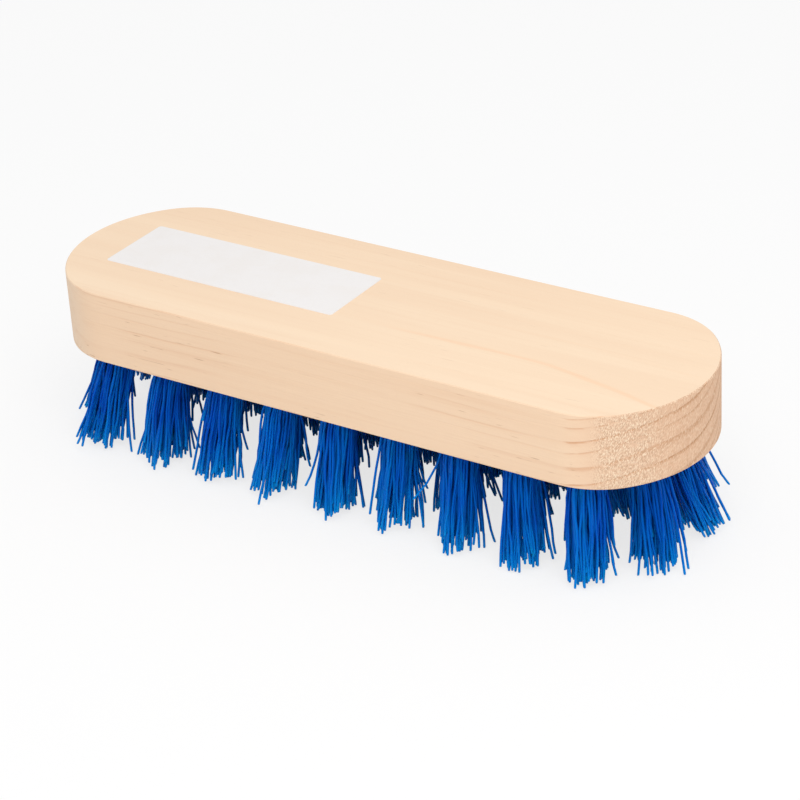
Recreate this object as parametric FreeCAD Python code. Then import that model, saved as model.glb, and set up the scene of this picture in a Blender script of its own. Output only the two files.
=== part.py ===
import FreeCAD
import Part

import math
import os
from collections import namedtuple

from FreeCAD import Placement, Rotation, Vector

# A hand scrub brush. A wooden block with flattened round ends carries four staggered rows of blind holes.
# Each hole holds one tuft of plastic filaments, folded double over a driven wire staple.
# The holes lean outwards, so the tufts fan out from the block to their trimmed tips.
# A paper label is stuck on the block's back.
# Millimetres. X runs along the block, Y across it and Z up, away from the bristles.
# The origin lies under the middle of the block, on the plane that the longest bristle tips reach.

# Wooden block
BLOCK_LENGTH = 200.0
BLOCK_WIDTH = 62.5
BLOCK_THICKNESS = 21.3
END_DEPTH = 26.5  # how far each rounded end reaches past the straight sides
CORNER_SHARE = 0.72  # how tight the corner arcs of an end are, as a share of its flattening
EDGE_EASE = 0.25  # sanded bevel round the edges of both flat faces

# Rows of holes
OUTER_ROW_TUFTS = 9
INNER_ROW_TUFTS = OUTER_ROW_TUFTS + 1  # the rows are staggered by half a pitch
OUTER_ROW_INSET = 10.25  # from the side of the block to the middle of the outer row
INNER_ROW_OFFSET = 7.0  # from the middle of the block to the middle of an inner row
END_INSET = 14.5  # from the end of the block to the last hole of an inner row
FAN_ALONG = 530.0  # height above the mouths where the hole axes meet, seen from the side
FAN_ACROSS = 95.0  # the same, seen from the end
LAST_HOLE_LEAN = 4.0  # degrees that the last holes of an inner row lean out beyond the fan

# Flat-bottomed blind holes
HOLE_DIAMETER = 9.0
HOLE_DEPTH = 11.0
CUT_OVERRUN = 4.0  # how far cutting tools start outside the wood

# Wire staples
WIRE = 1.0  # side of the square wire
CROWN_WIDTH = 3.6  # clear width between the legs
LEG_LENGTH = 7.0  # from the crown's outer face to the points
POINT_LENGTH = 1.4  # of the slanted cut at each leg's end
DRIVEN_FIT = 0.02  # between the legs and the slots that they cut in the wood

# Tufts
TRIM_LENGTH = 30.0  # from the block to the longest tips
TUFT_FIT = 0.05  # between the bundle and the mouth of its hole
FOLD_THICKNESS = 2.2  # filaments under the staple's crown
FOLD_SEAT = 0.1  # between the fold and the bottom of the hole
FOLD_FIT = 0.1  # between the fold and the staple
FLARE_DEPTH = 7.0  # below the block, where the bundle has spread
FLARE_DIAMETER = 10.0
TIP_DIAMETER = 11.2
TIP_UNEVENNESS = 3.6  # spread of the tip heights of one tuft
TIP_NOTCH = 2.6  # how far the splits between strands run up from the tips

# Strands that show on the outside of one tuft
STRANDS = 8
FLARE_SPLIT_SHARE = 0.12  # depth of the split between two strands at the flare, as a share of the radius
TIP_SPLIT_SHARE = 0.27  # the same at the tips
STRAY_SHARE = 0.09  # how far a strand may stand out at its tip, as a share of the radius
FOLD_LENGTH_SHARE = 0.80  # length of the fold across the hole, as a share of the hole's diameter
GOLDEN_SHARE = (math.sqrt(5) - 1) / 2  # spreads strand lengths evenly without repeating

# Paper label
LABEL_LENGTH = 77.5
LABEL_WIDTH = 25.5
LABEL_THICKNESS = 0.12
LABEL_CORNER = 1.0
LABEL_END_INSET = 15.0  # from the left end of the block
LABEL_OFF_CENTRE = 0.5  # across the block

UNDERSIDE = TRIM_LENGTH
BACK = UNDERSIDE + BLOCK_THICKNESS
HALF_WIDTH = BLOCK_WIDTH / 2
STRAIGHT_HALF = BLOCK_LENGTH / 2 - END_DEPTH
HOLE_RADIUS = HOLE_DIAMETER / 2
CROWN_DEPTH = HOLE_DEPTH - FOLD_SEAT - FOLD_THICKNESS  # of the crown's lower face, from the mouth
HOLE_PITCH = (BLOCK_LENGTH / 2 - END_INSET) * 2 / (INNER_ROW_TUFTS - 1)

X_AXIS = Vector(1, 0, 0)
Y_AXIS = Vector(0, 1, 0)
Z_AXIS = Vector(0, 0, 1)
ORIGIN = Vector(0, 0, 0)

Hole = namedtuple("Hole", "row number placement")


def half_turn(shape):
    """The same piece on the other half of the brush, which repeats when turned end for end."""
    turned = shape.copy()
    turned.rotate(ORIGIN, Z_AXIS, math.degrees(math.pi))
    return turned


def rounded_end(side):
    """One end of the block's outline: a wide arc between two tight corner arcs, all tangent."""
    flattening = abs(HALF_WIDTH - END_DEPTH)
    tight = min(HALF_WIDTH, END_DEPTH) - CORNER_SHARE * flattening
    wide = max(HALF_WIDTH, END_DEPTH) + flattening / (2 * CORNER_SHARE)
    corner_radius, end_radius = (tight, wide) if END_DEPTH < HALF_WIDTH else (wide, tight)
    corner_centre = Vector(0, HALF_WIDTH - corner_radius)
    end_centre = Vector(END_DEPTH - end_radius, 0)
    towards_meeting = (corner_centre - end_centre) * (1 / (end_radius - corner_radius))
    halfway = (Y_AXIS + towards_meeting).normalize()

    corner = [
        Y_AXIS * HALF_WIDTH,
        corner_centre + halfway * corner_radius,
        end_centre + towards_meeting * end_radius,
    ]
    mirrored = [Vector(point.x, -point.y) for point in reversed(corner)]
    arcs = (corner, [corner[-1], X_AXIS * END_DEPTH, mirrored[0]], mirrored)
    edges = []
    for arc in arcs:
        points = [Vector(side * (STRAIGHT_HALF + point.x), point.y, UNDERSIDE) for point in arc]
        edges.append(Part.Arc(*points).toShape())
    return edges


def plain_block():
    """The block before drilling: its outline extruded, with the edges of both flat faces eased."""
    edges = rounded_end(1) + rounded_end(-1)
    for y in (-HALF_WIDTH, HALF_WIDTH):
        ends = [Vector(x, y, UNDERSIDE) for x in (-STRAIGHT_HALF, STRAIGHT_HALF)]
        edges.append(Part.makeLine(*ends))
    outline = Part.Wire(Part.__sortEdges__(edges))
    block = Part.Face(outline).extrude(Z_AXIS * BLOCK_THICKNESS)
    flat_edges = [edge for edge in block.Edges if edge.BoundBox.ZLength < EDGE_EASE]
    return block.makeChamfer(EDGE_EASE, flat_edges)


def front_holes():
    """Holes of the two front rows. A hole's own frame has its origin at the mouth and Z into the wood."""
    rows = (
        ("outer", OUTER_ROW_INSET - HALF_WIDTH, OUTER_ROW_TUFTS),
        ("inner", -INNER_ROW_OFFSET, INNER_ROW_TUFTS),
    )
    holes = []
    for row, y, count in rows:
        for number in range(count):
            x = (number - (count - 1) / 2) * HOLE_PITCH
            lean = math.atan(x / FAN_ALONG)
            if row == "inner" and number in (0, count - 1):
                lean += math.copysign(math.radians(LAST_HOLE_LEAN), x)
            into_wood = Vector(-math.tan(lean), -y / FAN_ACROSS, 1)
            crown = Y_AXIS.cross(into_wood).cross(into_wood).negative()
            turn = Rotation(crown, into_wood.cross(crown), into_wood, "ZXY")
            holes.append(Hole(row, number, Placement(Vector(x, y, UNDERSIDE), turn)))
    return holes


def drill():
    """Cutting shape of one blind hole, in the hole's frame."""
    return Part.makeCylinder(HOLE_RADIUS, CUT_OVERRUN + HOLE_DEPTH, Vector(0, 0, -CUT_OVERRUN))


def staple(fit=0.0):
    """Square-wire staple in the hole's frame, its crown across the hole. It grows by fit all round."""
    inner = CROWN_WIDTH / 2 - fit
    outer = CROWN_WIDTH / 2 + WIRE + fit
    crown_low = CROWN_DEPTH + fit
    crown_high = CROWN_DEPTH - WIRE - fit
    slant_fit = fit * POINT_LENGTH / WIRE  # keeps the grown slant parallel to the leg's own
    point = CROWN_DEPTH - WIRE + LEG_LENGTH + fit
    heel = point - POINT_LENGTH - slant_fit
    half = [(inner, crown_low), (inner, point + slant_fit), (outer, heel), (outer, crown_high)]
    profile = half + [(-x, z) for x, z in reversed(half)]
    points = [Vector(x, -WIRE / 2 - fit, z) for x, z in profile]
    face = Part.Face(Part.makePolygon(points + points[:1]))
    return face.extrude(Y_AXIS * (WIRE + 2 * fit))


def scatter(number):
    """A share between 0 and 1 for any whole number, spread evenly and never repeating."""
    return number * GOLDEN_SHARE % 1


def fold_corners(half_width, half_length, depth):
    """Corners of the flat fold at one depth, between the legs of its staple."""
    signs = ((1, 1), (-1, 1), (-1, -1), (1, -1))
    return [Vector(across * half_width, along * half_length, depth) for across, along in signs]


def ring(radius, depth, split=0.0, stray=None):
    """Outline of the bundle at one depth: a strand, then the split beside it, all the way round."""
    points = []
    for corner in range(2 * STRANDS):
        strand = corner // 2
        reach = 1 - split if corner % 2 else 1 + (stray[strand] if stray else 0)
        angle = math.pi * corner / STRANDS
        points.append(Vector(radius * reach * math.cos(angle), radius * reach * math.sin(angle), depth))
    return points


def trimmed(points, heights, placement):
    """The same outline cut to world heights: each point slides along the tuft to its own height."""
    into_wood = placement.Rotation.multVec(Z_AXIS)
    cut = []
    for point, height in zip(points, heights):
        here = placement.multVec(point)
        cut.append(point + Z_AXIS * ((height - here.z) / into_wood.z))
    return cut


def tuft(hole, seed):
    """One doubled bundle: pinched in its staple, filling the mouth, then flared and split to uneven tips."""
    lengths = [scatter(seed + strand) for strand in range(STRANDS)]
    heights = [(share - min(lengths)) * TIP_UNEVENNESS for share in lengths]
    stray = [STRAY_SHARE * scatter(seed + 2 * strand) for strand in range(STRANDS)]
    tip_heights = []
    for strand, height in enumerate(heights):
        beside = heights[(strand + 1) % STRANDS]
        tip_heights += [height, max(height, beside) + TIP_NOTCH]

    pinch = CROWN_WIDTH / 2 - FOLD_FIT
    fold = HOLE_RADIUS * FOLD_LENGTH_SHARE
    mouth_ring = ring(HOLE_RADIUS - TUFT_FIT, 0)
    tip_ring = ring(TIP_DIAMETER / 2, -TRIM_LENGTH, TIP_SPLIT_SHARE, stray)
    rings = [
        fold_corners(pinch, fold, HOLE_DEPTH - FOLD_SEAT),
        fold_corners(pinch, fold, CROWN_DEPTH - WIRE - FOLD_FIT),
        trimmed(mouth_ring, [UNDERSIDE] * len(mouth_ring), hole.placement),
        ring(FLARE_DIAMETER / 2, -FLARE_DEPTH, FLARE_SPLIT_SHARE),
        trimmed(tip_ring, tip_heights, hole.placement),
    ]
    middle_height = sum(heights) / STRANDS
    middle = trimmed([Vector(0, 0, -TRIM_LENGTH)], [middle_height], hole.placement)[0]
    bundle = closed_solid(rings, Vector(0, 0, HOLE_DEPTH - FOLD_SEAT), middle)
    crown = Part.makeBox(
        CROWN_WIDTH,
        WIRE + 2 * FOLD_FIT,
        WIRE + 2 * FOLD_FIT,
        Vector(-CROWN_WIDTH / 2, -WIRE / 2 - FOLD_FIT, CROWN_DEPTH - WIRE - FOLD_FIT),
    )
    bundle = bundle.cut(crown).removeSplitter()
    bundle.Placement = hole.placement
    return bundle


def pairs(outline):
    """Each corner of a closed outline with the next one."""
    return zip(outline, outline[1:] + outline[:1])


def band(low, high):
    """Triangles between two outlines. The lower one has as many corners as the upper one or fewer."""
    nearest = [low[corner * len(low) // len(high)] for corner in range(len(high))]
    triangles = []
    for (corner, after), (foot, next_foot) in zip(pairs(high), pairs(nearest)):
        triangles.append((foot, after, corner))
        if next_foot is not foot:
            triangles.append((foot, next_foot, after))
    return triangles


def closed_solid(rings, first_middle, last_middle):
    """Solid through a row of outlines, closed at each end by a fan of triangles about a middle point."""
    triangles = [(first_middle, after, corner) for corner, after in pairs(rings[0])]
    for low, high in zip(rings, rings[1:]):
        triangles += band(low, high)
    triangles += [(last_middle, corner, after) for corner, after in pairs(rings[-1])]
    faces = [Part.Face(Part.makePolygon([a, b, c, a])) for a, b, c in triangles]
    shell = Part.makeShell(faces)
    shell.sewShape()
    return Part.makeSolid(Part.Shell(shell.Faces))


def label():
    """Paper label with rounded corners, lying on the block's back."""
    corner = Vector(LABEL_END_INSET - BLOCK_LENGTH / 2, LABEL_OFF_CENTRE - LABEL_WIDTH / 2, BACK)
    sheet = Part.makeBox(LABEL_LENGTH, LABEL_WIDTH, LABEL_THICKNESS, corner)
    uprights = [edge for edge in sheet.Edges if edge.BoundBox.ZLength > LABEL_THICKNESS / 2]
    return sheet.makeFillet(LABEL_CORNER, uprights)


def block_with_label_seat(block, sheet):
    """The block with the label's outline marked on its back as a face of its own. Its form is unchanged."""
    seat = min(sheet.Faces, key=lambda face: face.CenterOfMass.z)
    marked, _ = block.generalFuse([seat])
    return max(marked.Solids, key=lambda solid: solid.Volume)


def main():
    os.makedirs("parts", exist_ok=True)
    holes = front_holes()
    pieces = {}

    drills, slots, staples = [], [], []
    for hole in holes:
        for made, pattern in ((drills, drill()), (slots, staple(DRIVEN_FIT)), (staples, staple())):
            pattern.Placement = hole.placement
            made += [pattern, half_turn(pattern)]
    for number, hole in enumerate(holes):
        one = tuft(hole, number * STRANDS)
        pieces[f"tuft_front_{hole.row}_{hole.number + 1}"] = one
        pieces[f"tuft_rear_{hole.row}_{hole.number + 1}"] = half_turn(one)

    pieces["label"] = label()
    drilled = plain_block().cut(drills).cut(slots)
    pieces["wood_block"] = block_with_label_seat(drilled, pieces["label"])
    pieces["tuft_staples"] = Part.makeCompound(staples)

    for name, shape in sorted(pieces.items()):
        shape.exportStep(f"parts/{name}.step")
        print(f"{name}: {len(shape.Solids)} solids, {shape.Volume:.1f} mm3, valid {shape.isValid()}")


main()
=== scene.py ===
"""Looks of a wooden scrub brush, laid out as a Blender add-on and run as a script.

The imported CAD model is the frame. The wooden block, the label and the wire staples keep their CAD meshes
and get their finishes here. Each bristle tuft is made anew as a bundle of single filaments standing in
its own hole. Lengths are in metres in the CAD frame: X runs along the brush, Z is up, and the bristle
tips reach Z = 0.
"""
import math
from collections import namedtuple

import bpy
import numpy as np
from bpy.props import FloatProperty, FloatVectorProperty, IntProperty, PointerProperty
from bpy.types import NodeSocket, Operator, Panel, PropertyGroup
from mathutils import Matrix, Vector


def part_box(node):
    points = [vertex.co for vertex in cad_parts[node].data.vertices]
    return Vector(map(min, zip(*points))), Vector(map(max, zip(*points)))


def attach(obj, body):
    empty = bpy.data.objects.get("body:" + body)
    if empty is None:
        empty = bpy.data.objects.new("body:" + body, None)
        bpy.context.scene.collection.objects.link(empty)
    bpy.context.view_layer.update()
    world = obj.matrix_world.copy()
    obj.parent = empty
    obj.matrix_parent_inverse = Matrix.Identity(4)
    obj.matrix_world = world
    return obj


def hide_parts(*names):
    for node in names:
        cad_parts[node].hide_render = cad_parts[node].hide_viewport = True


bl_info = {
    "name": "Scrub brush",
    "version": (1, 0, 0),
    "blender": (4, 5, 0),
    "location": "View3D > Sidebar > Scrub brush",
    "description": "Finishes a wooden scrub brush and makes its bristle tufts filament by filament",
    "category": "Object",
}

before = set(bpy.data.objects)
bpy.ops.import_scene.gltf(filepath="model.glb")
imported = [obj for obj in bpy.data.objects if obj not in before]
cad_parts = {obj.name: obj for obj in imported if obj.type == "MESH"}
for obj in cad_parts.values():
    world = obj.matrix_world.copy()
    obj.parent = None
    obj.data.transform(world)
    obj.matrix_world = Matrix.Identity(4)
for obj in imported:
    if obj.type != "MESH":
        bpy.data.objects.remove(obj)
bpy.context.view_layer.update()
BACK_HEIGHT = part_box("wood_block")[1].z
GOLDEN_SHARE = (math.sqrt(5) - 1) / 2
GOLDEN_ANGLE = math.pi * (3 - math.sqrt(5))
WHITE = (1.0, 1.0, 1.0, 1.0)

# Waves to the metre along X, Y and Z of the noises in the wood
RING_WANDER_WAVES = (9.0, 30.0, 30.0)
FIBRE_WAVES = (14.0, 700.0, 700.0)
FINE_FIBRE_WAVES = (60.0, 2600.0, 2600.0)
PATCH_WAVES = (25.0, 60.0, 60.0)
CLOUD_WAVES = (7.0, 110.0, 110.0)
DASH_WAVES = (170.0, 1700.0, 1700.0)
TEAR_WAVES = (200.0, 420.0, 900.0)
PORE_WAVES = (4200.0, 4200.0, 1200.0)

# Waves to the metre of the noises in the paper, the filaments and the wire
PAPER_CLOUD_WAVES = (90.0, 90.0, 90.0)
LENGTHWISE_FELT_WAVES = (500.0, 2600.0, 2600.0)
CROSSWISE_FELT_WAVES = (2600.0, 500.0, 2600.0)
MOTTLE_WAVES = (320.0, 320.0, 110.0)
FILAMENT_MARK_WAVES = (2200.0, 2200.0, 160.0)
WIRE_MARK_WAVES = (3000.0, 3000.0, 250.0)

# Where the wood's looks change, from and to: across the brush, the cut of the left end, the painted shade of
# its front corner and the warmth of the rear, and along the brush, the beginning of the plain ring
LEFT_CUT = (-0.020, 0.010)
LEFT_SHADE_ACROSS = (0.005, -0.010)
REAR_WARMTH = (0.0, 0.025)
PLAIN_RING_START = (0.0, 0.03)

# How far the wood's surface points along the brush, from and to, where a side turns into an end, where fibres
# are cut across, in the middle of an end, and where the ends' red and the left corner's painted shade set in
TURNED_SIDE = (0.02, 0.22)
CUT_FIBRES = (0.32, 0.56)
END_MIDDLE = (0.75, 0.97)
END_RED = (0.10, 0.75)
LEFT_SHADE_FACING = (-0.05, -0.65)

# The same where the left end's cut begins and where it is full, each in front and at the rear
LEFT_CUT_START = (-0.60, -0.32)
LEFT_CUT_FULL = (-0.98, -0.56)

# How far the surface points up or down, from and to, on the back and the underside
FLAT_FACES = (0.6, 0.9)

# Ring numbers between which the plain ring fades in and out
PLAIN_RING_BELOW = (3.88, 3.95)
PLAIN_RING_ABOVE = (4.4, 4.1)

# How many times further than on the back a ring wanders on the sides and on the ends
SIDE_WANDER = (3.5, 2.0)

# Parts of a year, from and to: when a ring's line darkens, the same in the middle of the ends, when a faint
# shade goes before the line, and when the line stops
LINE_SEASON = (0.74, 0.92)
BROAD_SEASON = (0.62, 0.88)
SHADE_SEASON = (0.40, 0.92)
STOP_SEASON = (0.95, 1.0)

# Levels between which most of a noise lies, and those at which the marks in the wood set in
NOISE_SPAN = (0.3, 0.7)
CLOUD_LEVELS = (0.35, 0.65)
STREAK_LEVELS = (0.50, 0.72)
DASH_LEVELS = (0.70, 0.80)
DASH_PATCHES = (0.46, 0.58)
LINE_PATCHES = (0.40, 0.62)
LINE_TEAR_LEVELS = (0.34, 0.52)
PORE_TEAR_LEVELS = (0.30, 0.50)
# Levels of the pore noise for the end grain's painted highlights and its painted shade
PORE_HIGHLIGHT_LEVELS = (0.51, 0.62)
PORE_SHADE_LEVELS = (0.48, 0.37)

# Strength of clouds, streaks and dashes on the sides and on the back
CLOUDS = (0.06, 0.10)
STREAKS = (0.07, 0.035)
DASHES = (0.55, 0.15)

# Strength of the ring lines: least and most on the sides, outside and in the plain ring on the back, round
# an end and how much more in its middle, and what tears leave of them round an end and in its middle
SIDE_LINES = (0.03, 0.26)
BACK_LINES = (0.03, 0.32)
END_LINES = 0.75
MIDDLE_LINES = 0.30
TORN_LINES = (0.35, 0.60)

# How far pores are open where the ends are least torn, and round an end and in its middle
LEAST_TEARING = 0.45
END_TEARING = (1.0, 0.50)

# Height of the relief in the wood and in the finer finishes, and parts in the wood's: whole pores, fine
# fibres, and ring lines on the sides and on the ends, which are hollows
WOOD_RELIEF = 0.0004
FINE_RELIEF = 0.0001
WHOLE_PORES = 0.02
FIBRE_RELIEF = 0.25
LINE_RELIEF = (-0.10, -0.20)

# Roughness of the finishes, least and most, and how much rougher cut fibres are
WOOD_ROUGHNESS = (0.58, 0.72)
CUT_ROUGHNESS = 0.15
PAPER_ROUGHNESS = (0.50, 0.64)
FILAMENT_ROUGHNESS = (0.38, 0.55)
WIRE_ROUGHNESS = (0.28, 0.46)

# Levels of the noises in the paper and in the wire
PAPER_CLOUD_LEVELS = (0.42, 0.66)
FELT_SPAN = (0.35, 0.65)
THIN_FELT_LEVELS = (0.5, 0.65)
WIRE_MARK_LEVELS = (0.4, 0.7)

# Part of a filament's colour that is its shade's and not its mottle's, and parts of its way, from and to, on
# which it and its tip grow paler
SHADE_PART = 0.75
PALER_WAY = (0.55, 1.0)
TIP_WAY = (0.88, 1.0)

# Map that holds a filament's shade along U and the way from its root to its tip along V
FILAMENT_MAP = "filament"

# Points of a filament's line on its way down: the root at -1, the mouth of the hole at 0 and the tip at 1
STATIONS = np.array([-1.0, 0.0, 0.11, 0.23, 0.36, 0.49, 0.62, 0.75, 0.88, 0.985, 1.0])

# Layout of a bundle of radius 1: strands stand at the rim and in the core, and strays leave from outside
# the rim start, where half of the filaments are
RIM_STRANDS = 0.72
CORE_STRANDS = 0.28
CORE_COUNT = 3
RIM_START = 0.7
RIM_PART = 0.5
PLACE_JITTER = 0.03

# Fewest and most waves of a filament's swing and kinks, and least and most part of a stray's reach
SWING_WAVES = (0.6, 1.4)
KINK_WAVES = (2.0, 3.4)
REACH_PART = (0.25, 1.0)

# Shape and scale of the gamma spread of filament lengths
LENGTH_SPREAD = (1.1, 0.50)

# Part of a filament's shade that is its own and not its strand's, its corners, and its girth at the cut end
OWN_SHADE = 0.22
FILAMENT_CORNERS = 5
END_GIRTH = 0.82

# How far the tips of single tufts stand out of line along X and Y
TUFT_LEANS = {
    "tuft_front_outer_1": (-0.0012, 0.0),
    "tuft_front_outer_4": (-0.0010, 0.0),
    "tuft_front_outer_5": (0.0010, 0.0),
    "tuft_front_outer_6": (-0.0012, 0.0),
    "tuft_front_outer_9": (-0.0010, 0.0),
    "tuft_front_inner_10": (-0.0012, 0.0),
    "tuft_rear_inner_1": (0.0030, 0.0010),
    "tuft_rear_inner_10": (-0.0015, 0.0040),
}

# Single filaments that stick out of a tuft: how far each tip stands from the middle of the tuft's
# tips along X and Y, and how high above Z = 0 it ends
STRAYS = {
    "tuft_front_outer_1": (
        (-0.0055, -0.0045, 0.0030),
        (-0.0045, -0.0040, 0.0035),
        (-0.0040, -0.0035, 0.0130),
        (0.0115, 0.0000, 0.0005),
    ),
    "tuft_front_outer_2": ((0.0080, 0.0055, 0.0035), (0.0065, 0.0040, 0.0010)),
    "tuft_front_outer_3": ((-0.0040, -0.0030, 0.0175), (0.0070, 0.0050, 0.0080)),
    "tuft_front_outer_4": ((-0.0050, -0.0040, 0.0015), (0.0080, 0.0055, 0.0070)),
    "tuft_front_outer_5": ((-0.0070, -0.0045, 0.0080), (0.0065, 0.0045, 0.0010)),
    "tuft_front_outer_6": ((-0.0050, -0.0040, 0.0040), (0.0075, 0.0050, 0.0100)),
    "tuft_front_outer_7": (
        (0.0065, 0.0025, 0.0005),
        (0.0080, 0.0055, 0.0010),
        (-0.0100, -0.0070, 0.0140),
    ),
    "tuft_front_outer_8": ((0.0065, 0.0040, 0.0015), (-0.0050, -0.0035, 0.0010)),
    "tuft_front_outer_9": ((0.0065, 0.0040, 0.0015), (0.0060, 0.0045, 0.0090)),
    "tuft_front_inner_10": (
        (-0.0015, -0.0075, 0.0005),
        (0.0090, -0.0015, 0.0005),
        (0.0085, 0.0015, 0.0005),
    ),
    "tuft_rear_inner_1": (
        (0.0055, 0.0045, 0.0025),
        (0.0040, 0.0035, 0.0015),
        (0.0025, 0.0025, 0.0130),
    ),
    "tuft_rear_outer_1": ((0.0095, 0.0065, 0.0015), (0.0070, 0.0050, 0.0010)),
}


# Settings

def plain_number(name, description, default):
    """A plain number property."""
    return FloatProperty(name=name, description=description, default=default)


def whole_number(name, description, default):
    """A property that counts something."""
    return IntProperty(name=name, description=description, default=default, min=1)


def length(name, description, default):
    """A length property in metres."""
    return FloatProperty(
        name=name, description=description, default=default, unit="LENGTH", subtype="DISTANCE", precision=5
    )


def point(name, description, default):
    """A place property in metres."""
    return FloatVectorProperty(
        name=name, description=description, default=default, size=3, unit="LENGTH", subtype="TRANSLATION"
    )


def share(name, description, default):
    """A property that is a share from 0 to 1."""
    return FloatProperty(name=name, description=description, default=default, min=0, max=1, subtype="FACTOR")


def angle(name, description, degrees):
    """An angle property, given in degrees."""
    return FloatProperty(
        name=name, description=description, default=math.radians(degrees), unit="ROTATION", subtype="ANGLE"
    )


def colour(name, description, default):
    """A linear colour property."""
    return FloatVectorProperty(
        name=name, description=description, default=default, size=3, min=0, max=1, subtype="COLOR"
    )


class WoodSettings(PropertyGroup):
    """Grain and colours of the softwood block."""

    early_wood: colour("Early wood", "Pale wood that grew in spring", (0.926, 0.725, 0.530))
    # Painted shade: the sides' tint is darker and more saturated than the back's, for the weaker light on
    # them
    side_shade_tint: colour("Side wood", "Warmer tint of the sawn sides", (0.885, 0.650, 0.455))
    # Painted shade: a greyer, darker tint on the front left corner, which gets less light
    left_shade_tint: colour("Left wood", "Greyer tint of the front left corner", (0.800, 0.665, 0.525))
    late_wood: colour("Late wood", "Reddish line that closes each year ring", (0.650, 0.325, 0.170))
    back_line: colour("Back line", "Warm line where a ring breaks through the back", (0.930, 0.467, 0.217))
    end_grain: colour("End grain", "Tint of the ends, where fibres are cut across", (0.790, 0.525, 0.355))
    # Painted light and shade on the torn end grain: cream highlights where fibres stand up, brown shade in
    # the hollows
    pore_highlight: colour("Open pores", "Cream flecks in the end grain", (0.940, 0.740, 0.540))
    pore_shade: colour("Shut pores", "Brown hollows in the end grain", (0.550, 0.350, 0.220))
    dark_fleck: colour("Dark flecks", "Short resin dashes along the sides", (0.420, 0.225, 0.115))
    ring_width: length("Ring width", "Mean distance from one year ring to the next", 0.00366)
    first_ring: length("First ring", "Height of one ring in the middle of the brush", 0.0367)
    slow_growth: plain_number("Slow growth", "Swing of the ring number in a slow sine", 0.45)
    slow_rings: plain_number("Slow growth rings", "Rings in half a wave of the slow sine", 5.0)
    quick_growth: plain_number("Quick growth", "Swing of the ring number in a quick sine", 0.12)
    quick_rings: plain_number("Quick growth rings", "Rings in half a wave of the quick sine", 1.25)
    strong_ring: plain_number("Strong ring", "Number of one ring with a strong line", 2.0)
    strong_every: plain_number("Strong rings", "Rings from one strong line to the next", 3.0)
    flattest: length("Flattest place", "How far in front of the middle the rings lie flattest", 0.014)
    curl: plain_number("Curl", "Factor of the rise with the cube of the way across", 400.0)
    cross_slope: plain_number("Cross slope", "Slope of the rings across the brush", 0.13)
    long_slope: plain_number("Long slope", "Slope of the rings along the brush", 0.005)
    bend_start: length("Bend", "Place along the brush past which the rings rise", 0.055)
    bend_rise: plain_number("Bend rise", "Factor of the rise with the square of the way past the bend", 0.47)
    wander: length("Wander", "How far a ring strays up and down", 0.0009)
    pore_lean: plain_number("Pore lean", "Lean of the torn pores on the ends", 0.4)
    early_shade: share("Early shade", "Strength of the faint shade before a ring's line", 0.20)
    line_swing: share("Line swing", "How much fainter than the mean a ring's line may be", 0.24)
    line_brown: share("Line brown", "How much of the flecks' tint the end lines have", 0.50)
    rear_warmth: share("Rear warmth", "How much of the side wood's tint the rear has", 0.30)
    # Strength of the painted shade on the front left corner
    left_shade_strength: share("Left greyness", "How much of the left wood's tint its corner has", 0.40)
    end_darkness: share("End darkness", "How much of the late wood's tint the ends have", 0.20)
    # Strength of the painted shade in the end grain's hollows
    pore_shade_strength: share("Shut pore strength", "How much of their tint the shut pores have", 0.62)


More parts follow.
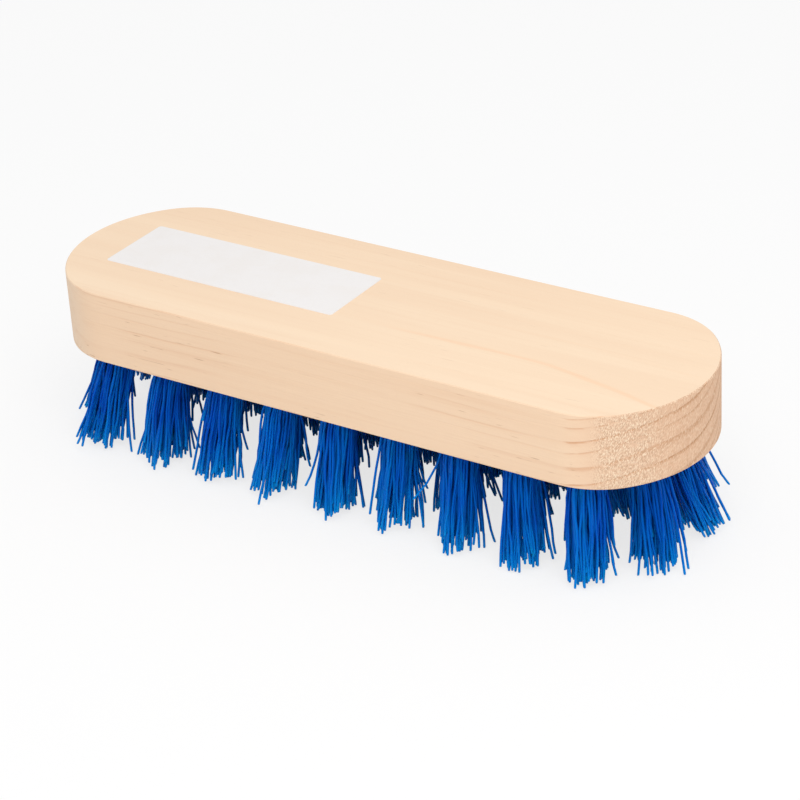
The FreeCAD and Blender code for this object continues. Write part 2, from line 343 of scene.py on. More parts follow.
class BristleSettings(PropertyGroup):
    """Layout of the tufts and shape and colours of their filaments."""

    pitch: length("Pitch", "Distance between the tufts of a row", 0.019)
    outer_row: length("Outer row", "Distance of the outer rows from the middle", 0.021)
    inner_row: length("Inner row", "Distance of the inner rows from the middle", 0.007)
    outer_count: whole_number("Outer tufts", "Tufts in an outer row", 9)
    inner_count: whole_number("Inner tufts", "Tufts in an inner row", 10)
    underside: length("Underside", "Height of the underside of the wood above the tips", 0.030)
    fan_along: length("Fan along", "Height over the underside where axes meet, seen from a side", 0.530)
    fan_across: length("Fan across", "Height over the underside where axes meet, seen from an end", 0.095)
    end_lean: angle("End lean", "Extra lean of the first and last tuft of the inner rows", 4.0)
    filaments: whole_number("Filaments", "Number of filament ends in a tuft", 112)
    thickness: length("Filament thickness", "Diameter of one filament", 0.00072)
    root: length("Root", "How far a filament is drawn into its hole", 0.004)
    hole_spread: length("Spread in the hole", "Radius of the bundle in the mouth of its hole", 0.0040)
    flare_spread: length("Spread after the flare", "Radius of the bundle just under the wood", 0.00475)
    tip_spread: length("Spread at the tips", "Radius of the bundle at its tips", 0.0056)
    flare_depth: length("Flare depth", "Distance under the wood over which the bundle opens", 0.007)
    unevenness: length("Unevenness", "How much shorter than the longest an ordinary filament is", 0.0018)
    broken_share: share("Broken filaments", "Share of the filaments that are broken off short", 0.06)
    broken_reach: length("Broken reach", "How much is missing from a broken filament at most", 0.0075)
    waviness: length("Waviness", "Sideways swing of a filament", 0.00032)
    crimp: length("Crimp", "Sideways swing of a filament's short kinks", 0.00009)
    wander: length("Wander", "Sideways drift of a filament at its tip", 0.00055)
    strand_wander: length("Strand wander", "Sideways drift of a whole strand at its tips", 0.00066)
    tuft_lean: length("Tuft lean", "How far a whole tuft's tips stand out of line", 0.00050)
    strands: whole_number("Strands", "Strands round a tuft that its filaments gather in", 8)
    strand_pull: share("Strand pull", "How closely the tips of a strand draw together", 0.46)
    strand_stray: share("Strand stray", "How far a strand may stand out, as a share of the radius", 0.09)
    strand_uneven: length("Strand unevenness", "Spread of the strands' lengths in a tuft", 0.0026)
    stray_share: share("Strays", "Share of the filaments that splay out of their tuft", 0.08)
    stray_reach: length("Stray reach", "How far a stray's tip splays out", 0.0036)
    stray_curl: plain_number("Stray curl", "Power of the way that a stray bends with", 1.4)
    stray_drag: plain_number("Stray drag", "How much further strays bend towards the right end", 0.30)
    # Lit and shaded copies of the one blue: painted light and shade, which strands and filaments take at
    # random
    lit: colour("Blue", "Colour of a light filament", (0.002, 0.172, 0.620))
    deep: colour("Deep blue", "Colour of a dark filament", (0.001, 0.056, 0.430))
    tip: colour("Tip blue", "Colour of the cut tips", (0.003, 0.260, 0.680))
    paling: share("Paling", "How much of the tips' colour comes on the way down", 0.50)
    tip_paling: share("Tip paling", "How much more of it the last stretch has", 0.35)
    light_depth: length("Light depth", "How far light passes into the plastic", 0.0007)
    gloss: colour("Gloss", "Tint of the light that the plastic throws back", (0.010, 0.280, 0.900))


class LabelSettings(PropertyGroup):
    """Paper of the bare label."""

    paper: colour("Paper", "White of the paper", (0.850, 0.825, 0.815))
    thin_paper: colour("Thin paper", "Tint where the wood shows through", (0.835, 0.800, 0.775))
    thin_clouds: share("Thin clouds", "How thin the paper is in its cloudy patches", 0.55)
    thin_felt: share("Thin felt", "How thin the paper is between its fibres", 0.35)


class StapleSettings(PropertyGroup):
    """Wire of the staples that hold the tufts."""

    wire: colour("Wire", "Bare steel", (0.560, 0.550, 0.530))
    drawn: colour("Drawing marks", "Darker lines along the wire", (0.360, 0.350, 0.340))


class StageSettings(PropertyGroup):
    """Floor, light and camera."""

    floor: colour("Floor", "Pale floor", (0.920, 0.920, 0.920))
    floor_half: length("Floor size", "Half the width of the floor", 12.0)
    floor_lift: share("Floor lift", "How far the floor's own white lightens the shadow for the camera", 0.75)
    sky: plain_number("Sky", "Strength of the even light from all round", 0.76)
    key: FloatProperty(name="Key lamp", description="Power of the soft lamp", default=2.2, unit="POWER")
    key_place: point("Lamp place", "Where the lamp stands, above right", (0.30, -0.32, 0.62))
    key_aim: point("Lamp aim", "What the lamp points at", (0.0, 0.0, 0.03))
    key_size: length("Lamp size", "Side of the square lamp", 0.5)
    lens: FloatProperty(name="Lens", description="Focal length", default=124.44, unit="CAMERA")
    sensor: FloatProperty(name="Sensor", description="Width of the sensor", default=36, unit="CAMERA")
    azimuth: angle("Azimuth", "Turn of the camera round the brush, to the right", 34.603)
    elevation: angle("Elevation", "Height of the camera above the horizon", 28.277)
    roll: angle("Roll", "Tilt of the picture", -3.445)
    distance: length("Distance", "From the camera to the middle of the brush's back", 0.7534)
    right: length("To the right", "How far the camera stands right of its aim", 0.00576)
    down: length("Down", "How far the camera stands below its aim", 0.0264)


# Shader helpers

class Number:
    """A number that changes from place to place: an output in a node tree. Arithmetic with it adds nodes."""

    def __init__(self, tree, output):
        self.tree = tree
        self.output = output

    def maths(self, operation, other=0.0):
        """The result of one arithmetic step on this number and, where the step takes two, another."""
        made = add_node(self.tree, "ShaderNodeMath", {0: self, 1: other}, operation=operation)
        return Number(self.tree, made.outputs[0])

    def __add__(self, other):
        return self.maths("ADD", other)

    def __sub__(self, other):
        return self.maths("SUBTRACT", other)

    def __mul__(self, other):
        return self.maths("MULTIPLY", other)

    def __truediv__(self, other):
        return self.maths("DIVIDE", other)

    __rmul__ = __mul__

    def at_least(self, other):
        """This number or the other one, whichever is larger."""
        return self.maths("MAXIMUM", other)

    def ease(self, low, high, start=0.0, end=1.0):
        """A number that goes smoothly from start to end while this one goes from low to high."""
        inputs = {"Value": self, "From Min": low, "From Max": high, "To Min": start, "To Max": end}
        made = add_node(self.tree, "ShaderNodeMapRange", inputs, interpolation_type="SMOOTHSTEP")
        return Number(self.tree, made.outputs[0])

    def between(self, start, end):
        """A number that goes smoothly from start to end while this one goes from 0 to 1."""
        return self.ease(0.0, 1.0, start, end)

    def blend(self, first, second):
        """The first colour where this number is 0, the second where it is 1, and a mixture between."""
        inputs = {0: self, 6: opaque(first), 7: opaque(second)}
        return add_node(self.tree, "ShaderNodeMix", inputs, data_type="RGBA").outputs[2]


def set_inputs(tree, node, inputs):
    """Gives a node's inputs, by name or place, a number or output to follow or a value to keep."""
    for place, value in inputs.items():
        source = value.output if isinstance(value, Number) else value
        if isinstance(source, NodeSocket):
            tree.links.new(source, node.inputs[place])
        else:
            node.inputs[place].default_value = source


def add_node(tree, kind, inputs, **settings):
    """Adds one node with those inputs. Settings are the node's own properties."""
    node = tree.nodes.new(kind)
    for name, value in settings.items():
        setattr(node, name, value)
    set_inputs(tree, node, inputs)
    return node


def new_finish(name):
    """A material of that name with one principled shader, as (material, node tree, shader)."""
    material = bpy.data.materials.new(name)
    material.use_nodes = True
    tree = material.node_tree
    return material, tree, tree.nodes["Principled BSDF"]


def opaque(tint):
    """A colour with full alpha, as inputs want it. An output stays as it is."""
    return tint if isinstance(tint, NodeSocket) else (*tint, 1.0)


def object_place(tree):
    """The place on the object, in metres."""
    return add_node(tree, "ShaderNodeTexCoord", {}).outputs["Object"]


def split(tree, vector):
    """The three numbers that a vector is made of."""
    outputs = add_node(tree, "ShaderNodeSeparateXYZ", {0: vector}).outputs
    return [Number(tree, output) for output in outputs]


def noise(tree, place, waves, detail=2.0):
    """Noise from 0 to 1 with that many waves to the metre along X, Y and Z."""
    scaled = add_node(tree, "ShaderNodeVectorMath", {0: place, 1: waves}, operation="MULTIPLY").outputs[0]
    made = add_node(tree, "ShaderNodeTexNoise", {"Vector": scaled, "Scale": 1.0, "Detail": detail})
    return Number(tree, made.outputs["Fac"])


def bump(tree, relief, strength, depth):
    """The normal of a surface whose relief, a number from about 0 to 1, is that deep."""
    inputs = {"Height": relief, "Strength": strength, "Distance": depth}
    return add_node(tree, "ShaderNodeBump", inputs).outputs[0]


def dress(node, material):
    """Gives a CAD node that one material."""
    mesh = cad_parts[node].data
    mesh.materials.clear()
    mesh.materials.append(material)


# Finishes

WoodFaces = namedtuple("WoodFaces", "facing left_end turned cut middle back")
WoodRings = namedtuple("WoodRings", "late plain")
WoodMarks = namedtuple("WoodMarks", "fibre fine_fibre patch cloud dash torn pore tearing")


def wood_faces(tree, y, normal):
    """How the wood is cut at each place, from where its surface points.

    Facing is the X of the normal. The others go from 0 to 1: left_end on the left end, turned where a
    side begins to turn into an end, cut where the fibres are cut across, middle in the middle of either
    end, and back on the back and the underside. The left end's cut begins further round the corner on the
    front half.
    """
    facing, _, upward = split(tree, normal)
    left_start = y.ease(*LEFT_CUT, *LEFT_CUT_START)
    left_full = y.ease(*LEFT_CUT, *LEFT_CUT_FULL)
    left_end = facing.ease(left_start, left_full)
    return WoodFaces(
        facing=facing,
        left_end=left_end,
        turned=facing.ease(*TURNED_SIDE).at_least(left_end),
        cut=facing.ease(*CUT_FIBRES).at_least(left_end),
        middle=facing.maths("ABSOLUTE").ease(*END_MIDDLE),
        back=upward.maths("ABSOLUTE").ease(*FLAT_FACES),
    )


def year_rings(tree, settings, place, faces):
    """How dark the late wood of the year rings is, and where one plain ring breaks through the back.

    A ring is a sheet. It rises with a line and a cube of the place across the brush, with a line along it
    and with a square of the way past a bend near the right end, and it wanders with a slow noise, more on
    the sides than on the back. The ring number is the height over the mean ring width, less a slow sine
    of itself and plus a quick one, so the rings are unevenly wide. Each ring darkens to a thin line at
    its top, which is broader in the middle of the ends and stronger every few rings.
    """
    x, y, z = split(tree, place)
    across = y + settings.flattest
    past_bend = (x - settings.bend_start).at_least(0.0)
    rise = settings.bend_rise * past_bend * past_bend + settings.curl * across * across * across
    rise = rise + settings.cross_slope * y + settings.long_slope * x
    slow = noise(tree, place, RING_WANDER_WAVES, detail=3.5)
    further = faces.back.between(faces.turned.between(*SIDE_WANDER), 1.0)
    stray = 2 * settings.wander * (slow - 0.5) * further
    height = z - rise + stray

    even = (height - settings.first_ring) / settings.ring_width
    slow_swing = (math.pi / settings.slow_rings * even).maths("SINE")
    quick_swing = (math.pi / settings.quick_rings * even).maths("SINE")
    years = even - settings.slow_growth * slow_swing + settings.quick_growth * quick_swing
    season = years.maths("FRACT")
    line = season.ease(*LINE_SEASON).at_least(season.ease(*SHADE_SEASON, 0.0, settings.early_shade))
    line = line.at_least(season.ease(*BROAD_SEASON) * faces.middle)
    wave = 2 * math.pi / settings.strong_every * (years.maths("FLOOR") - settings.strong_ring)
    strength = settings.line_swing * wave.maths("COSINE") + (1 - settings.line_swing)
    late = line * season.ease(*STOP_SEASON, 1.0, 0.0) * strength
    plain = years.ease(*PLAIN_RING_BELOW) * years.ease(*PLAIN_RING_ABOVE) * x.ease(*PLAIN_RING_START)
    return WoodRings(late, plain)


def wood_marks(tree, settings, place, faces):
    """Fibres, patches, clouds, resin dashes and torn pores.

    Each is noise at its own scale, drawn out along the fibres. Dashes are the peaks of theirs where the
    patches are strong. Pores are strokes that lean on the ends, and tearing says how far they are open.
    """
    x, y, z = split(tree, place)
    leaning = {0: x, 1: y - settings.pore_lean * z, 2: z}
    stroke = add_node(tree, "ShaderNodeCombineXYZ", leaning).outputs[0]
    patch = noise(tree, place, PATCH_WAVES, detail=1.0)
    dash = noise(tree, place, DASH_WAVES, detail=0.5)
    torn = noise(tree, place, TEAR_WAVES)
    tearing = faces.cut * torn.ease(*PORE_TEAR_LEVELS, LEAST_TEARING, 1.0)
    return WoodMarks(
        fibre=noise(tree, place, FIBRE_WAVES, detail=3.0),
        fine_fibre=noise(tree, place, FINE_FIBRE_WAVES),
        patch=patch,
        cloud=noise(tree, place, CLOUD_WAVES),
        dash=dash.ease(*DASH_LEVELS) * patch.ease(*DASH_PATCHES),
        torn=torn,
        pore=noise(tree, stroke, PORE_WAVES, detail=1.0),
        tearing=tearing * faces.middle.between(*END_TEARING),
    )


def wood_ground(settings, y, faces, marks):
    """Colour of the wood under its lines.

    The back is early wood and the sides have a darker, warmer tint of painted shade, both with soft clouds
    of late wood. The rear is warmer with part of that tint, the front left corner greyer with painted shade,
    and the ends are redder and darkest in their middle.
    """
    # Painted shade: the sides take the darker side tint, the back the early wood
    ground = faces.back.blend(settings.side_shade_tint, settings.early_wood)
    clouded = marks.cloud.ease(*CLOUD_LEVELS) * faces.back.between(*CLOUDS)
    ground = clouded.blend(ground, settings.late_wood)
    # The rear half takes part of the sides' painted shade tint
    ground = y.ease(*REAR_WARMTH, 0.0, settings.rear_warmth).blend(ground, settings.side_shade_tint)
    # Painted shade: the left-facing front corner is greyed, as if the light fell from the right
    left_shaded = faces.facing.ease(*LEFT_SHADE_FACING, 0.0, settings.left_shade_strength) * y.ease(*LEFT_SHADE_ACROSS)
    ground = left_shaded.blend(ground, settings.left_shade_tint)
    reddened = faces.facing.ease(*END_RED).at_least(faces.left_end)
    ground = reddened.blend(ground, settings.end_grain)
    darkened = settings.end_darkness * faces.middle.at_least(faces.left_end)
    return darkened.blend(ground, settings.late_wood)


def wood_lines(settings, ground, faces, rings, marks):
    """The ground with its ring lines, fibre streaks, resin dashes and pores over it.

    Ring lines are faint on the back, apart from the plain ring, come and go along the sides, and are
    strong but broken on the ends. The torn end grain gets a painted highlight, cream, where its fibres stand
    open, and painted shade, brown, in the hollows where they are shut.
    """
    whole_line = MIDDLE_LINES * faces.middle + END_LINES
    end_line = whole_line * marks.torn.ease(*LINE_TEAR_LEVELS, faces.middle.between(*TORN_LINES), 1.0)
    side_line = marks.patch.ease(*LINE_PATCHES, *SIDE_LINES)
    back_line = rings.plain.between(*BACK_LINES)
    contrast = faces.back.between(faces.turned.between(side_line, end_line), back_line)
    line = (settings.line_brown * faces.middle).blend(settings.late_wood, settings.dark_fleck)
    line = faces.back.blend(line, settings.back_line)
    ringed = (rings.late * contrast).blend(ground, line)
    streak = marks.fibre.ease(*STREAK_LEVELS) * faces.back.between(*STREAKS)
    streaked = streak.blend(ringed, settings.late_wood)
    dash = marks.dash * faces.back.between(*DASHES)
    dashed = dash.blend(streaked, settings.dark_fleck)
    # Painted highlights on the raised end grain and painted shade in its hollows
    pore_highlight_share = marks.pore.ease(*PORE_HIGHLIGHT_LEVELS) * marks.tearing
    flecked = pore_highlight_share.blend(dashed, settings.pore_highlight)
    pore_shade_share = settings.pore_shade_strength * marks.pore.ease(*PORE_SHADE_LEVELS) * marks.tearing
    return pore_shade_share.blend(flecked, settings.pore_shade)


def softwood(settings):
    """Softwood with nearly flat year rings, rougher and torn open where its fibres are cut across."""
    material, tree, shader = new_finish("pale_softwood")
    coordinates = add_node(tree, "ShaderNodeTexCoord", {}).outputs
    place = coordinates["Object"]
    _, y, _ = split(tree, place)
    faces = wood_faces(tree, y, coordinates["Normal"])
    rings = year_rings(tree, settings, place, faces)
    marks = wood_marks(tree, settings, place, faces)
    ground = wood_ground(settings, y, faces, marks)
    relief = marks.pore * (marks.tearing + WHOLE_PORES) + FIBRE_RELIEF * marks.fine_fibre
    relief = relief + rings.late * faces.turned.between(*LINE_RELIEF)
    set_inputs(tree, shader, {
        "Base Color": wood_lines(settings, ground, faces, rings, marks),
        "Roughness": marks.fibre.ease(*NOISE_SPAN, *WOOD_ROUGHNESS) + CUT_ROUGHNESS * faces.cut,
        "Normal": bump(tree, relief, 0.6, WOOD_RELIEF),
        "Specular IOR Level": 0.25,
    })
    return material


def label_paper(settings):
    """Matt paper: felted fibres as two noises laid crosswise, and cloudy patches where it is thinner."""
    material, tree, shader = new_finish("label_paper")
    place = object_place(tree)
    cloud = noise(tree, place, PAPER_CLOUD_WAVES, detail=3.0)
    lengthwise = noise(tree, place, LENGTHWISE_FELT_WAVES)
    crosswise = noise(tree, place, CROSSWISE_FELT_WAVES)
    felt = 0.5 * lengthwise + 0.5 * crosswise
    thin = cloud.ease(*PAPER_CLOUD_LEVELS, 0.0, settings.thin_clouds)
    thin = thin + felt.ease(*THIN_FELT_LEVELS, 0.0, settings.thin_felt)
    set_inputs(tree, shader, {
        "Base Color": thin.blend(settings.paper, settings.thin_paper),
        "Roughness": felt.ease(*FELT_SPAN, *PAPER_ROUGHNESS),
        "Normal": bump(tree, felt, 0.12, FINE_RELIEF),
    })
    return material


def bristle_plastic(settings):
    """Blue filament plastic: lit and shaded blues given to the filaments at random by their shade, which is
    painted light and shade, mottled, and paler at the cut tips.
    """
    material, tree, shader = new_finish("blue_filament")
    filament_map = add_node(tree, "ShaderNodeUVMap", {}, uv_map=FILAMENT_MAP).outputs[0]
    shade, along, _ = split(tree, filament_map)
    place = object_place(tree)
    mottle = noise(tree, place, MOTTLE_WAVES)
    drawing_marks = noise(tree, place, FILAMENT_MARK_WAVES, detail=1.0)
    # Painted light and shade: each filament mixes the lit and the shaded blue by its strand's and its own
    # random shade and a mottle
    depth = SHADE_PART * shade + mottle.ease(*NOISE_SPAN, 0.0, 1 - SHADE_PART)
    body = depth.blend(settings.deep, settings.lit)
    paler = along.ease(*PALER_WAY, 0.0, settings.paling) + along.ease(*TIP_WAY, 0.0, settings.tip_paling)
    set_inputs(tree, shader, {
        "Base Color": paler.blend(body, settings.tip),
        "Roughness": mottle.ease(*NOISE_SPAN, *FILAMENT_ROUGHNESS),
        "Normal": bump(tree, drawing_marks, 0.10, FINE_RELIEF),
        "Subsurface Weight": 0.4,
        "Subsurface Radius": (0.2, 0.5, 1.0),
        "Subsurface Scale": settings.light_depth,
        "Specular IOR Level": 0.2,
        "Specular Tint": opaque(settings.gloss),
    })
    return material


def staple_wire(settings):
    """Drawn steel wire with fine darker lines and uneven gloss."""
    material, tree, shader = new_finish("staple_wire")
    drawing_marks = noise(tree, object_place(tree), WIRE_MARK_WAVES)
    set_inputs(tree, shader, {
        "Base Color": drawing_marks.ease(*WIRE_MARK_LEVELS).blend(settings.wire, settings.drawn),
        "Roughness": drawing_marks.ease(*NOISE_SPAN, *WIRE_ROUGHNESS),
        "Normal": bump(tree, drawing_marks, 0.15, FINE_RELIEF),
        "Metallic": 1.0,
    })
    return material


# Bristle tufts

TuftPlace = namedtuple("TuftPlace", "node number mouth way facing")


def tuft_places(settings):
    """Each tuft's CAD node, number in the front rows, mouth, direction and which way it is turned.

    The axes of a row fan out from a point above the brush: the slope along X is x over the fan height
    along, and the slope along Y is y over the fan height across. The end tufts of an inner row lean out
    by a fixed angle more. The rear rows are the front rows turned half round.
    """
    rows = (
        ("outer", settings.outer_count, settings.outer_row),
        ("inner", settings.inner_count, settings.inner_row),
    )
    places = []
    first = 0
    for row, count, offset in rows:
        x = (np.arange(count) - (count - 1) / 2) * settings.pitch
        lean = np.arctan(x / settings.fan_along)
        if row == "inner":
            lean[[0, -1]] += np.sign(x[[0, -1]]) * settings.end_lean
        y = np.full(count, -offset)
        mouths = np.stack([x, y, np.full(count, settings.underside)], 1)
        ways = np.stack([np.tan(lean), y / settings.fan_across, np.full(count, -1.0)], 1)
        for side, turn in (("front", 1.0), ("rear", -1.0)):
            half_turn = np.array([turn, turn, 1.0])
            for tuft in range(count):
                node = f"tuft_{side}_{row}_{tuft + 1}"
                mouth = mouths[tuft] * half_turn
                places.append(TuftPlace(node, first + tuft, mouth, ways[tuft] * half_turn, turn))
        first += count
    return places


def tuft_axes(place):
    """Unit vectors down a tuft and across it, the second one towards +Y or -Y as the tuft is turned."""
    down = place.way / np.linalg.norm(place.way)
    side = place.facing * (np.array([0.0, 1.0, 0.0]) - down * down[1])
    side = side / np.linalg.norm(side)
    return down, side, np.cross(down, side)


def strand_hearts(settings, tuft):
    """Middles of a tuft's strands on a disc of radius 1, and how much shorter than the longest each is.

    The strands stand at equal turns round the tuft. Strand k of tuft n has a length and a stray that are the
    fractional part of a whole number times the golden share, as its solid has. More strands fill the core.
    """
    strand = np.arange(settings.strands)
    start = tuft * settings.strands
    turn = 2 * np.pi * strand / settings.strands
    stand_out = 1 + settings.strand_stray * ((start + 2 * strand) * GOLDEN_SHARE % 1)
    rim = RIM_STRANDS * stand_out[:, None] * np.stack([np.cos(turn), -np.sin(turn)], 1)
    core_turn = 2 * np.pi * (np.arange(CORE_COUNT) + tuft * GOLDEN_SHARE) / CORE_COUNT
    core = CORE_STRANDS * np.stack([np.cos(core_turn), np.sin(core_turn)], 1)
    lengths = (start + strand) * GOLDEN_SHARE % 1
    shorter = (lengths - lengths.min()) * settings.strand_uneven
    return np.concatenate([rim, core]), np.concatenate([shorter, np.full(CORE_COUNT, shorter.mean())])


def bundle_radius(settings, reach):
    """Radius of a bundle on its way down: a smooth step opens it under the wood, then it widens evenly."""
    opened = np.clip(reach * settings.underside / settings.flare_depth, 0, 1)
    opened = opened * opened * (3 - 2 * opened)
    flared = settings.hole_spread + (settings.flare_spread - settings.hole_spread) * opened
    return flared + (settings.tip_spread - settings.flare_spread) * reach


def filament_lines(settings, place, lean, seed):
    """Centre lines of a tuft's filaments, with their shade and the way along them.

    Filament i of n starts at a sunflower seed's place in the mouth: at i golden angles, on a disc radius
    of the root of (i + 1/2) / n. The disc opens with the bundle. On the way down a filament draws towards
    the middle of its strand, drifts with the square of the way, swings in a slow sine and a quick one
    and, if it is a stray, bends out with a power of the way. The whole tuft leans by its own amount. A
    filament is as long as brings its tip to its own height above Z = 0. The last filaments of the bundle
    are the listed strays, which go from the rim of the mouth to their own tips.
    """
    dice = np.random.default_rng(seed)
    count = settings.filaments
    reach = np.clip(STATIONS, 0, 1)
    down, side, front = tuft_axes(place)

    # Places in the bundle and strands
    filament = np.arange(count)
    bearing = filament * GOLDEN_ANGLE + dice.uniform(0, 2 * np.pi)
    around = np.stack([np.cos(bearing), np.sin(bearing)], 1)
    seat = np.sqrt((filament + 0.5) / count)[:, None] * around
    seat = seat + dice.normal(0, PLACE_JITTER, (count, 2))
    heart, shorter = strand_hearts(settings, place.number)
    member = np.argmin(((seat[:, None] - heart[None]) ** 2).sum(2), 1)

    # Sideways place at each station
    pull = (settings.strand_pull * reach)[None, :, None]
    drawn = seat[:, None] * (1 - pull) + heart[member][:, None] * pull
    sideways = bundle_radius(settings, reach)[None, :, None] * drawn
    drift = dice.normal(0, settings.wander, (count, 2))
    drift = drift + dice.normal(0, settings.strand_wander, heart.shape)[member]
    level = np.stack([side[:2], front[:2]], 1)
    whole = lean @ level + dice.normal(0, settings.tuft_lean, 2)
    sideways = sideways + (drift[:, None] + whole) * (reach ** 2)[None, :, None]
    for swing, waves in ((settings.waviness, SWING_WAVES), (settings.crimp, KINK_WAVES)):
        phase = dice.uniform(0, 2 * np.pi, (count, 1, 2))
        turns = 2 * np.pi * dice.uniform(*waves, (count, 1, 1)) * reach[None, :, None]
        sideways = sideways + swing * (np.sin(turns + phase) - np.sin(phase))

    # Strays leave from the outside of the bundle
    radius = np.linalg.norm(seat, axis=1)
    leave = (reach ** settings.stray_curl)[None, :, None]
    is_stray = dice.random(count) < settings.stray_share / RIM_PART * (radius > RIM_START)
    splay = settings.stray_reach * dice.uniform(*REACH_PART, count) * is_stray
    outward = seat / radius[:, None] + settings.stray_drag * np.array([side[0], front[0]])
    sideways = sideways + (outward * splay[:, None])[:, None] * leave

    # Height of each tip
    height = settings.thickness / 2 + settings.unevenness * dice.gamma(*LENGTH_SPREAD, count)
    height = height + shorter[member]
    missing = settings.broken_reach * dice.random(count)
    height = height + missing * (dice.random(count) < settings.broken_share)

    # Strays that are listed
    set_strays = np.array(STRAYS.get(place.node, ())).reshape(-1, 3)
    if len(set_strays):
        last = slice(count - len(set_strays), count)
        tip = set_strays[:, :2] @ level
        rim = settings.hole_spread * tip / np.linalg.norm(tip, axis=1)[:, None]
        begin = sideways[last, :1]
        swing = sideways[last] - begin - (sideways[last, -1:] - begin) * reach[:, None]
        sideways[last] = rim[:, None] * (1 - leave) + (tip[:, None] + whole) * leave + swing
        height[last] = set_strays[:, 2]

    # Length that brings each tip to its height
    rise = sideways[:, -1, 0] * side[2] + sideways[:, -1, 1] * front[2]
    full = (settings.underside + rise - height) / -down[2]
    far = np.where(STATIONS[None] < 0, -settings.root, reach[None] * full[:, None])
    lines = place.mouth + far[..., None] * down + sideways[..., :1] * side + sideways[..., 1:] * front
    shade = OWN_SHADE * dice.random(count) + (1 - OWN_SHADE) * dice.random(len(heart))[member]
    return lines, shade, reach


def filament_mesh(name, settings, place, lean, seed):
    """Mesh of one tuft: a ring carried along each filament's line, drawn in at the cut end, both ends closed.

    A point is the line's point plus the filament's radius times (cosine of the turn on one crosswise axis
    plus sine on the other), and the last ring is smaller.
    """
    lines, shade, reach = filament_lines(settings, place, lean, seed)
    count, steps = lines.shape[:2]
    _, side, front = tuft_axes(place)
    turn = np.arange(FILAMENT_CORNERS) * 2 * np.pi / FILAMENT_CORNERS
    ring = np.cos(turn)[:, None] * side + np.sin(turn)[:, None] * front
    girth = np.full(steps, settings.thickness / 2)
    girth[-1] *= END_GIRTH
    points = lines[:, :, None] + girth[None, :, None, None] * ring[None, None]

    index = np.arange(count * steps * FILAMENT_CORNERS).reshape(count, steps, FILAMENT_CORNERS)
    after = np.roll(index, -1, axis=2)
    walls = np.stack([index[:, :-1], after[:, :-1], after[:, 1:], index[:, 1:]], -1).reshape(-1)
    roots = index[:, 0, ::-1].reshape(-1)
    tips = index[:, -1].reshape(-1)
    corners = np.concatenate([walls, roots, tips])
    wall_starts = np.arange(0, walls.size, 4)
    cap_starts = np.arange(walls.size, corners.size, FILAMENT_CORNERS)
    starts = np.concatenate([wall_starts, cap_starts])
    shades = np.broadcast_to(shade[:, None, None], index.shape)
    ways = np.broadcast_to(reach[None, :, None], index.shape)
    map_points = np.stack([shades, ways], -1).reshape(-1, 2)

    mesh = bpy.data.meshes.new(name)
    mesh.vertices.add(points.size // 3)
    mesh.vertices.foreach_set("co", points.reshape(-1))
    mesh.loops.add(corners.size)
    mesh.loops.foreach_set("vertex_index", corners)
    mesh.polygons.add(starts.size)
    mesh.polygons.foreach_set("loop_start", starts)
    mesh.polygons.foreach_set("use_smooth", np.ones(starts.size, bool))
    layer = mesh.uv_layers.new(name=FILAMENT_MAP)
    layer.uv.foreach_set("vector", map_points[corners].reshape(-1))
    mesh.update(calc_edges=True)
    if mesh.validate():
        raise RuntimeError(f"{name} has faulty faces")
    return mesh


# Stage

def directly_seen(tree):
    """1 where the camera sees a surface directly, in a reflection or through glass, and 0 elsewhere."""
    path = add_node(tree, "ShaderNodeLightPath", {}).outputs
    seen = Number(tree, path["Is Camera Ray"]).at_least(path["Is Glossy Ray"])
    return seen.at_least(path["Is Transmission Ray"])


def make_floor(settings):
    """A wide flat floor at the bristle tips, clear from below: a grid of its two half widths, two by two."""
    ends = [-settings.floor_half, settings.floor_half]
    across, along = np.meshgrid(ends, ends)
    points = np.stack([across, along, np.zeros((2, 2))], -1).reshape(-1, 3)
    mesh = bpy.data.meshes.new("floor")
    mesh.from_pydata(points.tolist(), [], [(0, 1, 3, 2)])
    material, tree, shader = new_finish("pale_floor")
    finish = {"Base Color": opaque(settings.floor), "Roughness": 0.9, "Specular IOR Level": 0.1}
    set_inputs(tree, shader, finish)
    white = add_node(tree, "ShaderNodeEmission", {"Color": WHITE, "Strength": 1.0}).outputs[0]
    lift = settings.floor_lift * directly_seen(tree)
    lifted = add_node(tree, "ShaderNodeMixShader", {0: lift, 1: shader.outputs[0], 2: white}).outputs[0]
    below = add_node(tree, "ShaderNodeNewGeometry", {}).outputs["Backfacing"]
    clear = add_node(tree, "ShaderNodeBsdfTransparent", {}).outputs[0]
    one_sided = add_node(tree, "ShaderNodeMixShader", {0: below, 1: lifted, 2: clear}).outputs[0]
    set_inputs(tree, tree.nodes["Material Output"], {"Surface": one_sided})
    mesh.materials.append(material)
    floor = bpy.data.objects.new("floor", mesh)
    bpy.context.scene.collection.objects.link(floor)


def make_sky(settings):
    """Even light from all round, which the camera and reflections see as white."""
    world = bpy.data.worlds.new("studio")
    world.use_nodes = True
    tree = world.node_tree
    strength = directly_seen(tree).between(settings.sky, 1.0)
    set_inputs(tree, tree.nodes["Background"], {"Color": WHITE, "Strength": strength})
    bpy.context.scene.world = world


def make_lamp(settings):
    """A square soft lamp at its place, turned to its aim."""
    data = bpy.data.lights.new("key_lamp", "AREA")
    data.shape = "SQUARE"
    data.size = settings.key_size
    data.energy = settings.key
    lamp = bpy.data.objects.new("key_lamp", data)
    lamp.location = settings.key_place
    towards = Vector(settings.key_aim) - Vector(settings.key_place)
    lamp.rotation_euler = towards.to_track_quat("-Z", "Y").to_euler()
    bpy.context.scene.collection.objects.link(lamp)


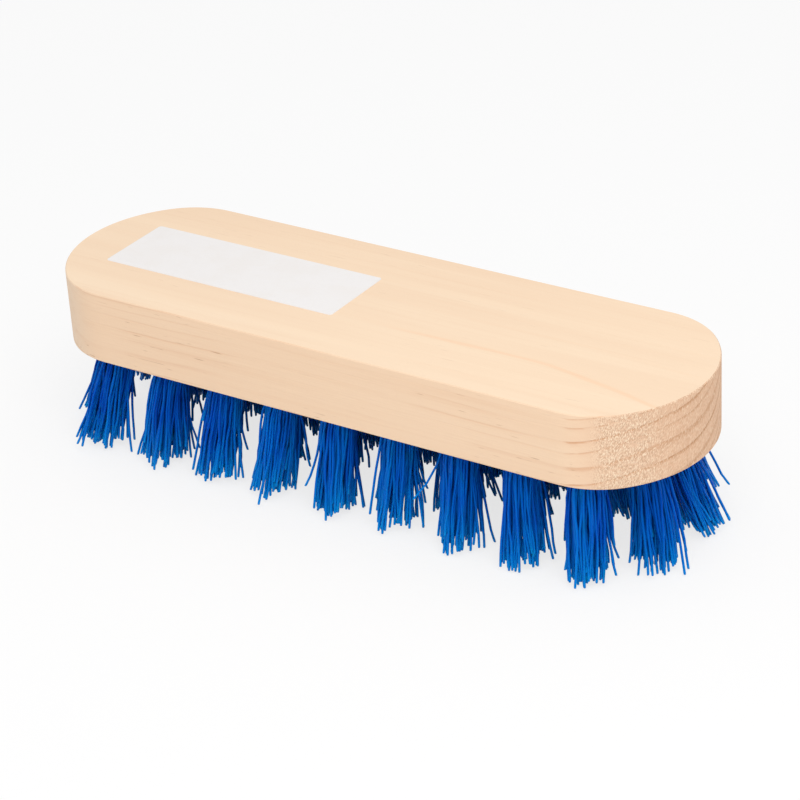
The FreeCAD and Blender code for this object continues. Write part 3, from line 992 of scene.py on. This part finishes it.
def make_camera(settings):
    """A camera that looks at the middle of the back from azimuth and elevation, rolled and set off."""
    turn, rise, roll = settings.azimuth, settings.elevation, settings.roll
    away = Vector((math.sin(turn) * math.cos(rise), -math.cos(turn) * math.cos(rise), math.sin(rise)))
    level = Vector((math.cos(turn), math.sin(turn), 0))
    upright = away.cross(level)
    right = level * math.cos(roll) + upright * math.sin(roll)
    up = upright * math.cos(roll) - level * math.sin(roll)
    offset = away * settings.distance + right * settings.right - up * settings.down
    place = Vector((0, 0, BACK_HEIGHT)) + offset
    data = bpy.data.cameras.new("camera")
    data.sensor_width = settings.sensor
    data.lens = settings.lens
    camera = bpy.data.objects.new("camera", data)
    camera.matrix_world = Matrix.Translation(place) @ Matrix((right, up, away)).transposed().to_4x4()
    bpy.context.scene.collection.objects.link(camera)
    bpy.context.scene.camera = camera


# Operators

class SCRUB_OT_wood_block(Operator):
    """Give the wooden block its grain"""

    bl_idname = "scrub.wood_block"
    bl_label = "Finish wooden block"

    def execute(self, context):
        dress("wood_block", softwood(context.scene.scrub_wood))
        return {"FINISHED"}


class SCRUB_OT_label(Operator):
    """Give the label its paper"""

    bl_idname = "scrub.label"
    bl_label = "Finish label"

    def execute(self, context):
        dress("label", label_paper(context.scene.scrub_label))
        return {"FINISHED"}


class SCRUB_OT_staples(Operator):
    """Give the staples their wire finish"""

    bl_idname = "scrub.staples"
    bl_label = "Finish staples"

    def execute(self, context):
        dress("tuft_staples", staple_wire(context.scene.scrub_staples))
        return {"FINISHED"}


class SCRUB_OT_tufts(Operator):
    """Make the bristle tufts, filament by filament, in place of their solids"""

    bl_idname = "scrub.tufts"
    bl_label = "Make bristle tufts"

    def execute(self, context):
        settings = context.scene.scrub_bristles
        plastic = bristle_plastic(settings)
        for seed, place in enumerate(tuft_places(settings), 1):
            name = place.node.replace("tuft", "bristles")
            lean = np.array(TUFT_LEANS.get(place.node, (0.0, 0.0)))
            mesh = filament_mesh(name, settings, place, lean, seed)
            mesh.materials.append(plastic)
            piece = bpy.data.objects.new(name, mesh)
            context.scene.collection.objects.link(piece)
            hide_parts(place.node)
            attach(piece, "root")
        return {"FINISHED"}


class SCRUB_OT_stage(Operator):
    """Make the floor, the light and the camera"""

    bl_idname = "scrub.stage"
    bl_label = "Make stage"

    def execute(self, context):
        settings = context.scene.scrub_stage
        make_floor(settings)
        make_sky(settings)
        make_lamp(settings)
        make_camera(settings)
        context.scene.view_settings.view_transform = "Standard"
        return {"FINISHED"}


class SCRUB_PT_sidebar(Panel):
    """Lists the steps that make the brush"""

    bl_label = "Scrub brush"
    bl_space_type = "VIEW_3D"
    bl_region_type = "UI"
    bl_category = "Scrub brush"

    def draw(self, context):
        for step in STEPS:
            self.layout.operator(step.bl_idname)


STEPS = (SCRUB_OT_stage, SCRUB_OT_wood_block, SCRUB_OT_label, SCRUB_OT_staples, SCRUB_OT_tufts)
SETTINGS = {
    "scrub_wood": WoodSettings,
    "scrub_bristles": BristleSettings,
    "scrub_label": LabelSettings,
    "scrub_staples": StapleSettings,
    "scrub_stage": StageSettings,
}


def register():
    """Registers the settings, the operators and the panel."""
    for place, group in SETTINGS.items():
        bpy.utils.register_class(group)
        setattr(bpy.types.Scene, place, PointerProperty(type=group))
    for step in STEPS:
        bpy.utils.register_class(step)
    bpy.utils.register_class(SCRUB_PT_sidebar)


def unregister():
    """Takes all of that away again."""
    bpy.utils.unregister_class(SCRUB_PT_sidebar)
    for step in reversed(STEPS):
        bpy.utils.unregister_class(step)
    for place, group in SETTINGS.items():
        delattr(bpy.types.Scene, place)
        bpy.utils.unregister_class(group)


def main():
    register()
    bpy.ops.scrub.stage()
    bpy.ops.scrub.wood_block()
    bpy.ops.scrub.label()
    bpy.ops.scrub.staples()
    bpy.ops.scrub.tufts()


if __name__ == "__main__":
    main()
